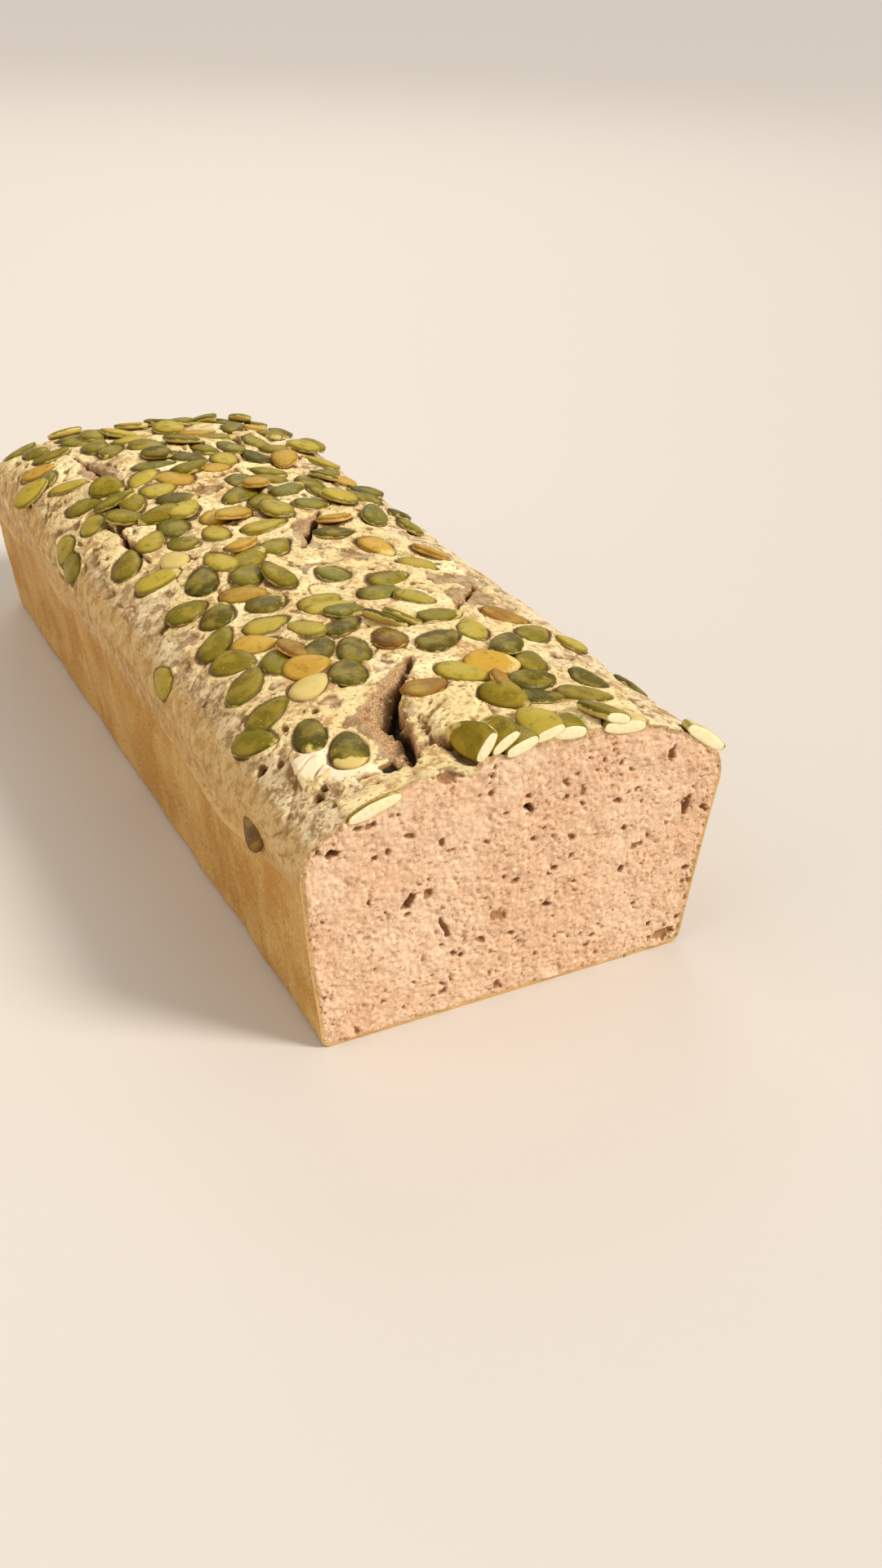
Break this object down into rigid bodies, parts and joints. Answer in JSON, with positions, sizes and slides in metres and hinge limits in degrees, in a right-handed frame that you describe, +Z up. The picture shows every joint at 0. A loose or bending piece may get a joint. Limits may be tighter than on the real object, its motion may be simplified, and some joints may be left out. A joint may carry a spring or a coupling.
{
  "type": "cut buckwheat loaf",
  "caption": "Long tin-baked buckwheat loaf with tapered sides and a cracked, domed top covered in pumpkin seeds, sliced flat at one end to show its crumb.",
  "frame": {"origin": "on the ground under the middle of the loaf's box", "axes": "+Z up; +Y along the loaf, away from the cut face; +X to the right of someone facing the cut"},
  "size_m": [0.1023, 0.264, 0.0685],
  "materials": {
    "crust": "matt baked crust",
    "crumb": "matt open crumb",
    "pumpkin_seeds": "satin seed skin"
  },
  "bodies": {
    "root": {"loaf": "crust"}
  },
  "joints": []
}
